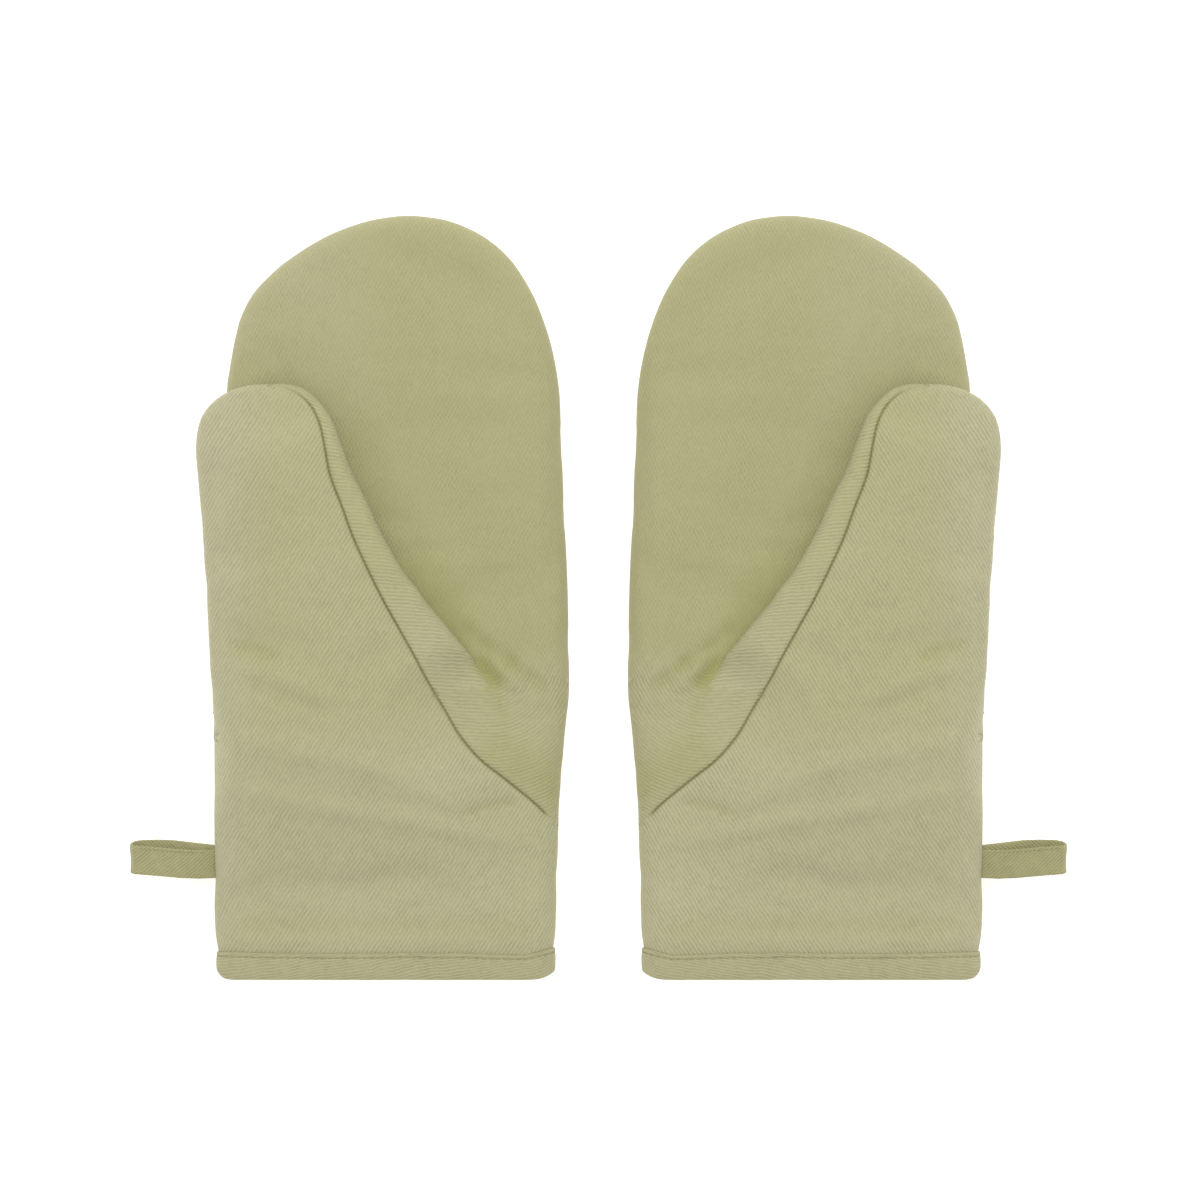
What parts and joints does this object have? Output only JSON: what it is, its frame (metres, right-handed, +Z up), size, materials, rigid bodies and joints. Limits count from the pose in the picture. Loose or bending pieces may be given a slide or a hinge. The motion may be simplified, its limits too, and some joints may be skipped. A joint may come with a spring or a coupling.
{
  "type": "oven glove pair",
  "caption": "Pair of padded cotton oven mitts lying palm up, thumbs folded over the palms, with bound cuffs and side hanging loops.",
  "frame": {"origin": "on the table, under the centre of the box round the pair, midway between the gloves", "axes": "+X from the left glove to the right glove, +Y from the cuffs towards the fingertips, +Z up from the table, which the backs of the gloves lie on"},
  "size_m": [0.404, 0.3299, 0.0372],
  "materials": {
    "sage_twill": "matt cotton twill with fine diagonal wales, sage green",
    "white_wadding": "soft white quilt wadding",
    "sage_lining": "plain woven cotton lining, paler sage",
    "sage_binding": "matt cotton bias binding, sage green",
    "sage_tape": "matt cotton twill tape, darker olive sage"
  },
  "bodies": {
    "left_hand": {"left_back_shell": "sage_twill", "left_back_wadding": "white_wadding", "left_back_lining": "sage_lining", "left_palm_shell": "sage_twill", "left_palm_wadding": "white_wadding", "left_palm_lining": "sage_lining", "left_cuff_front_shell": "sage_twill", "left_cuff_front_wadding": "white_wadding", "left_cuff_front_lining": "sage_lining", "left_cuff_binding": "sage_binding"},
    "left_thumb": {"left_thumb_front_shell": "sage_twill", "left_thumb_front_wadding": "white_wadding", "left_thumb_front_lining": "sage_lining", "left_thumb_inner_shell": "sage_twill", "left_thumb_inner_wadding": "white_wadding", "left_thumb_inner_lining": "sage_lining"},
    "left_loop": {"left_hanging_loop": "sage_tape"},
    "right_hand": {"right_back_shell": "sage_twill", "right_back_wadding": "white_wadding", "right_back_lining": "sage_lining", "right_palm_shell": "sage_twill", "right_palm_wadding": "white_wadding", "right_palm_lining": "sage_lining", "right_cuff_front_shell": "sage_twill", "right_cuff_front_wadding": "white_wadding", "right_cuff_front_lining": "sage_lining", "right_cuff_binding": "sage_binding"},
    "right_thumb": {"right_thumb_front_shell": "sage_twill", "right_thumb_front_wadding": "white_wadding", "right_thumb_front_lining": "sage_lining", "right_thumb_inner_shell": "sage_twill", "right_thumb_inner_wadding": "white_wadding", "right_thumb_inner_lining": "sage_lining"},
    "right_loop": {"right_hanging_loop": "sage_tape"}
  },
  "joints": [
    {"name": "left_thumb_fold", "type": "hinge", "parent": "left_hand", "child": "left_thumb", "pos_m": [-0.10358, -0.0603, 0.0375], "axis": [1, 0, 0], "range_deg": [0, 60]},
    {"name": "left_loop_swing", "type": "hinge", "parent": "left_hand", "child": "left_loop", "pos_m": [-0.16727, -0.1144, 0.0101], "axis": [0, 1, 0], "range_deg": [-80, 80]},
    {"name": "right_glove_apart", "type": "slide", "parent": "left_hand", "child": "right_hand", "axis": [1, 0, 0], "range_m": [0, 0.25]},
    {"name": "right_thumb_fold", "type": "hinge", "parent": "right_hand", "child": "right_thumb", "pos_m": [0.10358, -0.0603, 0.0375], "axis": [1, 0, 0], "range_deg": [0, 60]},
    {"name": "right_loop_swing", "type": "hinge", "parent": "right_hand", "child": "right_loop", "pos_m": [0.16727, -0.1144, 0.0101], "axis": [0, -1, 0], "range_deg": [-80, 80]}
  ]
}
